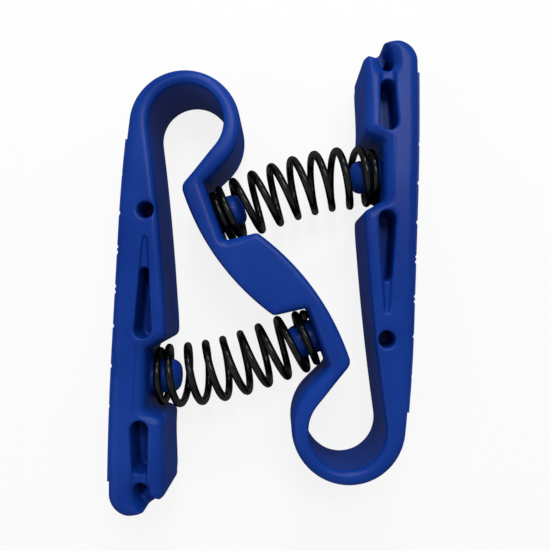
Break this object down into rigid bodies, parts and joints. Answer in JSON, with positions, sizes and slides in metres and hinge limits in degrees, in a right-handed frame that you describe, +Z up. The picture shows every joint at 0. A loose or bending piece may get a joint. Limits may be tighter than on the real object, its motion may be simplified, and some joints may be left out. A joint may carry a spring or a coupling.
{
  "type": "spring clamp",
  "caption": "Squeeze clamp moulded as an N, with a flexing loop at each end and a compression spring between the centre bar and each handle.",
  "frame": {"origin": "on the axis about which the clamp repeats when turned half a turn, level with its underside", "axes": "+X across the clamp towards the right handle, +Y along the handles towards the upper loop, +Z up through its depth"},
  "size_m": [0.076, 0.1234, 0.022],
  "materials": {
    "moulding": "satin",
    "spring_wire": "gloss black"
  },
  "bodies": {
    "centre": {"centre_bar": "moulding", "upper_loop": "moulding", "lower_loop": "moulding", "upper_spring": "spring_wire", "lower_spring": "spring_wire"},
    "left": {"left_handle": "moulding", "left_grip": "moulding"},
    "right": {"right_handle": "moulding", "right_grip": "moulding"}
  },
  "joints": [
    {"name": "left_squeeze", "type": "hinge", "parent": "centre", "child": "left", "pos_m": [-0.022, 0.0448, 0.011], "axis": [0, 0, 1], "range_deg": [0, 13], "stiffness_Nm_per_rad": 35, "deforming": ["upper_loop", "lower_spring"]},
    {"name": "right_squeeze", "type": "hinge", "parent": "centre", "child": "right", "pos_m": [0.022, -0.0448, 0.011], "axis": [0, 0, 1], "range_deg": [0, 13], "stiffness_Nm_per_rad": 35, "deforming": ["lower_loop", "upper_spring"]}
  ]
}
